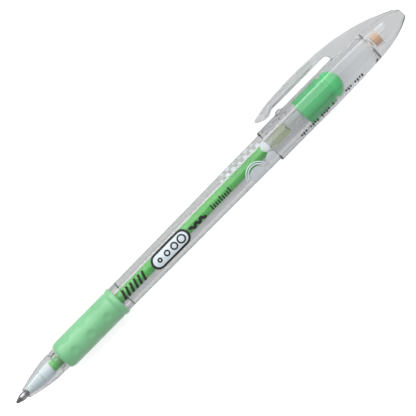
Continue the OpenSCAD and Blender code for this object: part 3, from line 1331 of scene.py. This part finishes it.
    def nub(self) -> Mesh:
        """The low round-topped detent under the clip's tip."""
        home, half = self.tip + 7.3, 1.5
        radius = (half * half + self.nub_h * self.nub_h) / (2 * self.nub_h)
        sections = []
        for x in stations(home - half, home + half, 16):
            top = self.radius + self.nub_h - radius + math.sqrt(max(radius**2 - (x - home) ** 2, 0.0))
            width = self.clip_w / 2 - 0.9
            ring = []
            for k in range(9):
                angle = math.pi * k / 8
                ring.append(Vector((x, top - 0.25 + 0.25 * math.sin(angle), width * math.cos(angle))))
            ring += [Vector((x, self.radius - 0.8, -width)), Vector((x, self.radius - 0.8, width))]
            sections.append(ring)
        return Mesh().skin(sections)

    def build(self) -> None:
        """Builds the cap and clip as one moulding, and the seal."""
        cap = self.shell().solid("cap_and_clip")
        clip = Mesh().skin([self.section(x) for x in self.clip_stations()]).solid("clip_arm")
        carve(cap, clip, "UNION")
        carve(cap, self.nub().solid("nub"), "UNION")
        carve(cap, self.hollow().solid("hollow"), "DIFFERENCE")
        shade(cap, 30)
        cap.data.transform(PEN.matrix())
        self.finishes.dress(cap, "clear cap styrene")
        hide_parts("cap", "clip")
        self.bend(cap)
        self.made.append(cap.name)
        self.seal()

    def seal(self) -> None:
        """Builds the seal, with fine rings round it."""
        last = self.seal_end - 0.02
        edge, share = self.seal_r + 0.02, TURN * self.seal_rings / (last - self.seal_x)
        side = [
            (x, edge - self.seal_ring_h / 2 * (1 - math.cos(share * (x - self.seal_x))))
            for x in stations(self.seal_x, last, 12 * self.seal_rings)
        ]
        outline = [(self.seal_x, 0.0), *side, (last, 0.0)]
        self.add(Mesh().lathe(outline), "seal_pad", "seal rubber", "cap", "tip_seal")

    def bend(self, cap: bpy.types.Object) -> None:
        """Works out a plane that would part the clip's arm from the cap, and bakes in the cap's
        placing.

        The plane slopes a little along the pen, over the shell and its nub, under the arm, and in
        front of the root.
        """
        slope = 0.06
        across = Vector((-slope, 1.0))
        low = (self.tip + 7.3) * -slope + self.radius + self.nub_h
        foot = Vector((self.web, low + slope * self.web))
        head = foot + across * 0.4 / across.length_squared
        PEN.row(foot.x, foot.y, 0)
        PEN.row(head.x, head.y, 0)
        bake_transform(cap)


@dataclass
class Prints(Assembly):
    """Generic printed marks on the barrel and the cap. All sizes are in millimetres."""

    barrel: Barrel | None = None
    cap: Cap | None = None
    lift: float = 0.035
    gap: float = 0.005

    def wrap(self, x: float, s: float, lift: float, radius: float) -> Vector:
        """A point on the round surface, s millimetres round from the side that faces up."""
        angle = s / radius
        reach = radius + lift
        return Vector((x, reach * math.sin(angle), reach * math.cos(angle)))

    def patch(
        self,
        name: str,
        finish: str,
        body: str,
        ends: Flat,
        band: Callable[[float], Flat],
        skin: Skin,
        cells: tuple[int, int] = (24, 10),
    ) -> None:
        """A printed area between two edges that run along the pen.

        Args:
            name: The piece's name.
            finish: The finish's name.
            body: The body that it rides on.
            ends: First and last station.
            band: Gives the low and high edge, as distances round, at a share of the length.
            skin: Gives the surface's radius at a station.
            cells: Steps along and across.
        """
        top, bottom = [], []
        for i in range(cells[0] + 1):
            t = i / cells[0]
            x = ends[0] + (ends[1] - ends[0]) * t
            low, high = band(t)
            line = [low + (high - low) * j / cells[1] for j in range(cells[1] + 1)]
            top.append([self.wrap(x, s, self.lift, skin(x)) for s in line])
            bottom.append([self.wrap(x, s, self.gap, skin(x)) for s in line])
        self.add(Mesh().slab(top, bottom), name, finish, body)

    def stroke(
        self,
        name: str,
        finish: str,
        body: str,
        line: list[Flat],
        width: float,
        skin: Skin,
        closed: bool = False,
        lift: float = 0.0,
    ) -> None:
        """A printed line of one width with round ends.

        Args:
            name: The piece's name.
            finish: The finish's name.
            body: The body that it rides on.
            line: Points as (station, distance round).
            width: The line's width.
            skin: Gives the surface's radius at a station.
            closed: Whether the line runs back to its start.
            lift: How much thicker it is than other print.
        """
        if closed:
            line = [*line, line[0], line[1]]
        top, bottom = [], []
        last = len(line) - 1
        for i, (x, s) in enumerate(line[:-1] if closed else line):
            before, after = line[max(i - 1, 0)], line[min(i + 1, last)]
            if closed and i == 0:
                before = line[-3]
            run = Vector((after[0] - before[0], after[1] - before[1])).normalized()
            side = Vector((-run.y, run.x)) * width / 2
            row = [(x + side.x * k, s + side.y * k) for k in (-1, -0.5, 0, 0.5, 1)]
            top.append([self.wrap(a, b, self.lift + lift, skin(a)) for a, b in row])
            bottom.append([self.wrap(a, b, self.gap, skin(a)) for a, b in row])
        self.add(Mesh().slab(top, bottom), name, finish, body)

    def ring(self, centre: Flat, radii: Flat, count: int = 40) -> list[Flat]:
        """Points round an oval."""
        angles = [TURN * k / count for k in range(count)]
        return [
            (centre[0] + radii[0] * math.cos(a), centre[1] + radii[1] * math.sin(a)) for a in angles
        ]

    def disc(self, name: str, body: str, centre: Flat, size: float, skin: Skin) -> None:
        """A thinly printed round spot.

        Args:
            name: The piece's name.
            body: The body that it rides on.
            centre: Its middle as (station, distance round).
            size: Its radius.
            skin: Gives the surface's radius at a station.
        """

        def band(t: float) -> Flat:
            """The spot's edges at a share of its width."""
            half = size * math.sqrt(max(1 - (2 * t - 1) ** 2, 0.0004))
            return centre[1] - half, centre[1] + half

        ends = (centre[0] - size * 0.9998, centre[0] + size * 0.9998)
        self.patch(name, "thin white print", body, ends, band, skin, (20, 8))

    def build(self) -> None:
        """Prints the barrel and the cap."""
        self.print_barrel()
        self.print_spots()
        self.print_cap()

    def print_barrel(self) -> None:
        """The black marks: a row of bars, an outlined lozenge, a wavy line and ticks."""
        skin = self.barrel.outer
        start = PEN.span("grip_sleeve")[1]
        for k in range(6):
            x = start + 1.7 + 1.65 * k
            line = [(x + 1.0 * t, -1.7 + 3.0 * t) for t in stations(0, 1, 8)]
            self.stroke(f"bar_{k}", "black print", "barrel", line, 0.8, skin)
        self.lozenge(start + 14.5, 14.2, skin)
        wave = [
            (start + 29.8 + 6.4 * t, -0.6 + 0.42 * math.sin(TURN * 3 * t)) for t in stations(0, 1, 72)
        ]
        self.stroke("line_sample", "black print", "barrel", wave, 0.95, skin)
        for k in range(9):
            x = start + 39.2 + 0.92 * k
            tall = 1.25 if k % 4 else 1.8
            line = [(x, -1.3 + tall * t) for t in stations(0, 1, 6)]
            self.stroke(f"tick_{k}", "black print", "barrel", line, 0.5, skin)

    def lozenge(self, start: float, length: float, skin: Skin) -> None:
        """An outlined pill with a pale field and a row of dots that grow along it."""
        half, middle = 2.3, -0.5

        def pill(inset: float) -> list[Flat]:
            """The pill's outline, drawn in by an inset."""
            r = half - inset
            points = []
            for k in range(15):
                a = -math.pi / 2 + math.pi * k / 14
                points.append((start + length - half + r * math.cos(a), middle + r * math.sin(a)))
            for k in range(15):
                a = math.pi / 2 + math.pi * k / 14
                points.append((start + half + r * math.cos(a), middle + r * math.sin(a)))
            return points

        def band(t: float) -> Flat:
            """The field's edges at a share of its length."""
            x = length * t
            inside = min(x, length - x)
            r = half if inside >= half else math.sqrt(max(half**2 - (half - inside) ** 2, 0.0005))
            return middle - r, middle + r

        ends = (start + 0.02, start + length - 0.02)
        self.patch("lozenge_field", "white print", "barrel", ends, band, skin, (56, 12))
        self.stroke("lozenge_edge", "black print", "barrel", pill(0), 0.75, skin, True, 0.03)
        for k in range(4):
            centre = (start + 2.6 + 3.0 * k, middle)
            size = 0.55 + 0.22 * k
            line = self.ring(centre, (size, size))
            self.stroke(f"lozenge_ring_{k}", "black print", "barrel", line, 0.5, skin, True, 0.03)

    def print_spots(self) -> None:
        """White spots and rings, like bubbles, between the black marks and the cap."""
        skin = self.barrel.outer
        mouth = PEN.span("cap")[0]
        small = [
            (mouth - 17.4 + 1.25 * k, 5.4 if k % 2 else 3.2, 0.55 + 0.3 * ease((k % 5) / 4))
            for k in range(13)
        ]
        halo = (mouth - 8.2, -3.6)
        large = [
            (*halo, 2.6),
            (mouth - 1.8, -2.8, 1.9),
            (mouth - 4.4, -7.0, 1.3),
            (mouth - 1.1, 1.0, 1.5),
            (mouth - 13.4, -4.6, 0.8),
        ]
        for k, (x, s, size) in enumerate([*small, *large]):
            self.disc(f"spot_{k}", "barrel", (x, s), size, skin)
        for k, size in enumerate((3.3, 3.95)):
            arc = [
                (halo[0] + size * math.cos(a), halo[1] + size * math.sin(a))
                for a in (math.pi * (0.08 + 0.84 * i / 40) for i in range(41))
            ]
            self.stroke(f"spot_arc_{k}", "white print", "barrel", arc, 0.3, skin)

    def print_cap(self) -> None:
        """Two rows of fine black dashes low on the cap."""
        mouth = PEN.span("cap")[0]

        def skin(x: float) -> float:
            """The cap's radius, the same at every dash."""
            return self.cap.radius

        for row, (x, count) in enumerate(((mouth + 9.2, 15), (mouth + 28.0, 9))):
            for k in range(count):
                if k % 5 == 3:
                    continue
                a = x + 0.95 * k
                deep = 1.5 if k % 2 else 1.0
                line = [(a, -4.7 - deep * t) for t in stations(0, 1, 4)]
                self.stroke(f"dash_{row}_{k}", "black print", "cap", line, 0.55, skin)


# ---------------------------------------------------------------- studio


@dataclass
class Studio:
    """Floor, lights, sky and camera. Distances are in metres."""

    floor_half: float = 3.0
    floor_seen: float = 0.94
    floor_bounce: float = 0.62
    floor_glow: float = 0.35
    sky_low: float = 0.34
    sky_high: float = 0.48
    key_power: float = 7.6
    side_power: float = 9.0
    top_power: float = 2.0
    fill_power: float = 3.0
    lens: float = 200.0
    view_width: float = 0.1248
    tilt: float = 45.36
    aim_x: float = 82.0
    aim_y: float = 0.26

    def build(self) -> None:
        """Sets everything up."""
        self.floor()
        self.sky()
        self.lights()
        self.camera()

    def floor(self) -> None:
        """A plain pale sheet that the pen lies on."""
        bm = bmesh.new()
        bmesh.ops.create_grid(bm, x_segments=2, y_segments=2, size=self.floor_half)
        data = bpy.data.meshes.new("floor")
        bm.to_mesh(data)
        bm.free()
        sheet = bpy.data.objects.new("floor", data)
        bpy.context.scene.collection.objects.link(sheet)
        sheet.location.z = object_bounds()[0].z - 0.0002
        data.materials.append(self.paper())
        sheet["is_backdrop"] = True

    def paper(self) -> bpy.types.Material:
        """A pale sheet that throws back less light than it shows, so the pen keeps its shaded side."""
        material = bpy.data.materials.new("pale floor")
        material.use_nodes = True
        material.node_tree.nodes.clear()
        sketch = Sketch(material.node_tree)
        seen = sketch.add(
            "ShaderNodeBsdfPrincipled",
            Base_Color=grey(self.floor_seen),
            Roughness=0.9,
            Emission_Color=grey(1.0),
            Emission_Strength=self.floor_glow,
        )
        bounced = sketch.add("ShaderNodeBsdfDiffuse", Color=grey(self.floor_bounce))
        sight = sketch.add("ShaderNodeLightPath")
        mix = sketch.add("ShaderNodeMixShader")
        sketch.tree.links.new(sight.outputs["Is Camera Ray"], mix.inputs[0])
        sketch.tree.links.new(bounced.outputs["BSDF"], mix.inputs[1])
        sketch.tree.links.new(seen.outputs["BSDF"], mix.inputs[2])
        sketch.add("ShaderNodeOutputMaterial", Surface=mix.outputs["Shader"])
        return material

    def sky(self) -> None:
        """A soft light all round, brighter overhead, behind a white backdrop."""
        world = bpy.data.worlds.new("soft sky")
        world.use_nodes = True
        sketch = Sketch(world.node_tree)
        world.node_tree.nodes.clear()
        where = sketch.add("ShaderNodeTexCoord").outputs["Generated"]
        height = sketch.add("ShaderNodeSeparateXYZ", Vector=where).outputs["Z"]
        power = sketch.add(
            "ShaderNodeMapRange", Value=height, To_Min=self.sky_low, To_Max=self.sky_high
        )
        light = sketch.add(
            "ShaderNodeBackground", Color=(0.96, 0.98, 1.0, 1.0), Strength=power.outputs["Result"]
        )
        backdrop = sketch.add("ShaderNodeBackground", Color=grey(1.0), Strength=1.0)
        sight = sketch.add("ShaderNodeLightPath")
        mix = sketch.add("ShaderNodeMixShader")
        sketch.tree.links.new(sight.outputs["Is Camera Ray"], mix.inputs[0])
        sketch.tree.links.new(light.outputs["Background"], mix.inputs[1])
        sketch.tree.links.new(backdrop.outputs["Background"], mix.inputs[2])
        sketch.add("ShaderNodeOutputWorld", Surface=mix.outputs["Shader"])
        bpy.context.scene.world = world

    def lamp(self, name: str, place: Vector, size: Flat, power: float, aim: Vector) -> None:
        """A soft panel that faces the pen.

        Args:
            name: The lamp's name.
            place: Where it hangs.
            size: Its length and width.
            power: Its power in watts.
            aim: What it faces.
        """
        data = bpy.data.lights.new(name, "AREA")
        data.shape = "RECTANGLE"
        data.size, data.size_y = size
        data.energy = power
        lamp = bpy.data.objects.new(name, data)
        bpy.context.scene.collection.objects.link(lamp)
        lamp.location = place
        lamp.visible_transmission = False
        lamp.rotation_euler = (aim - place).to_track_quat("-Z", "Y").to_euler()

    def lights(self) -> None:
        """A low strip and a soft panel on the clip's side, a weak one opposite, and one overhead."""
        middle = PEN.row(self.aim_x, 0, 0)
        panels = (
            ("key", (-0.05, 0.95, 0.17), (1.4, 0.28), self.key_power),
            ("side", (0.0, 0.8, 0.65), (1.4, 0.8), self.side_power),
            ("fill", (0.0, -0.8, 0.45), (1.4, 0.8), self.fill_power),
            ("top", (0.1, 0.1, 1.1), (1.2, 0.9), self.top_power),
        )
        for name, place, size, power in panels:
            self.lamp(name, middle + Vector(place), size, power, middle)

    def camera(self) -> None:
        """Looks square at the plane through the clip, with the pen rising to the right."""
        data = bpy.data.cameras.new("camera")
        data.lens = self.lens
        data.sensor_width = 36.0
        data.clip_start, data.clip_end = 0.05, 20.0
        camera = bpy.data.objects.new("camera", data)
        bpy.context.scene.collection.objects.link(camera)
        angle = math.radians(self.tilt)
        back = PEN.direction(0, 0, 1)
        right = PEN.direction(math.cos(angle), -math.sin(angle), 0)
        up = PEN.direction(math.sin(angle), math.cos(angle), 0)
        distance = self.view_width * self.lens / data.sensor_width
        turn = Matrix((right, up, back)).transposed().to_4x4()
        place = PEN.row(self.aim_x, self.aim_y, 0) + back * distance
        camera.matrix_world = Matrix.Translation(place) @ turn
        bpy.context.scene.camera = camera


def set_light_paths() -> None:
    """Lets light pass through the many walls of the clear shells, and keeps colours plain."""
    scene = bpy.context.scene
    scene.cycles.max_bounces = 24
    scene.cycles.transmission_bounces = 24
    scene.cycles.transparent_max_bounces = 24
    scene.view_settings.view_transform = "Standard"


def main() -> None:
    """Builds the pen from the point to the cap, then the studio."""
    logging.basicConfig(level=logging.INFO, format="%(message)s")
    finishes = Finishes()
    barrel, cap = Barrel(finishes), Cap(finishes)
    parts: list[Assembly] = [
        WritingPoint(finishes),
        Refill(finishes),
        NoseCone(finishes),
        barrel,
        Grip(finishes),
        EndPlug(finishes),
        cap,
        Prints(finishes, barrel=barrel, cap=cap),
    ]
    for part in parts:
        part.build()
        part.report()
    Studio().build()
    set_light_paths()


if __name__ == "__main__":
    main()
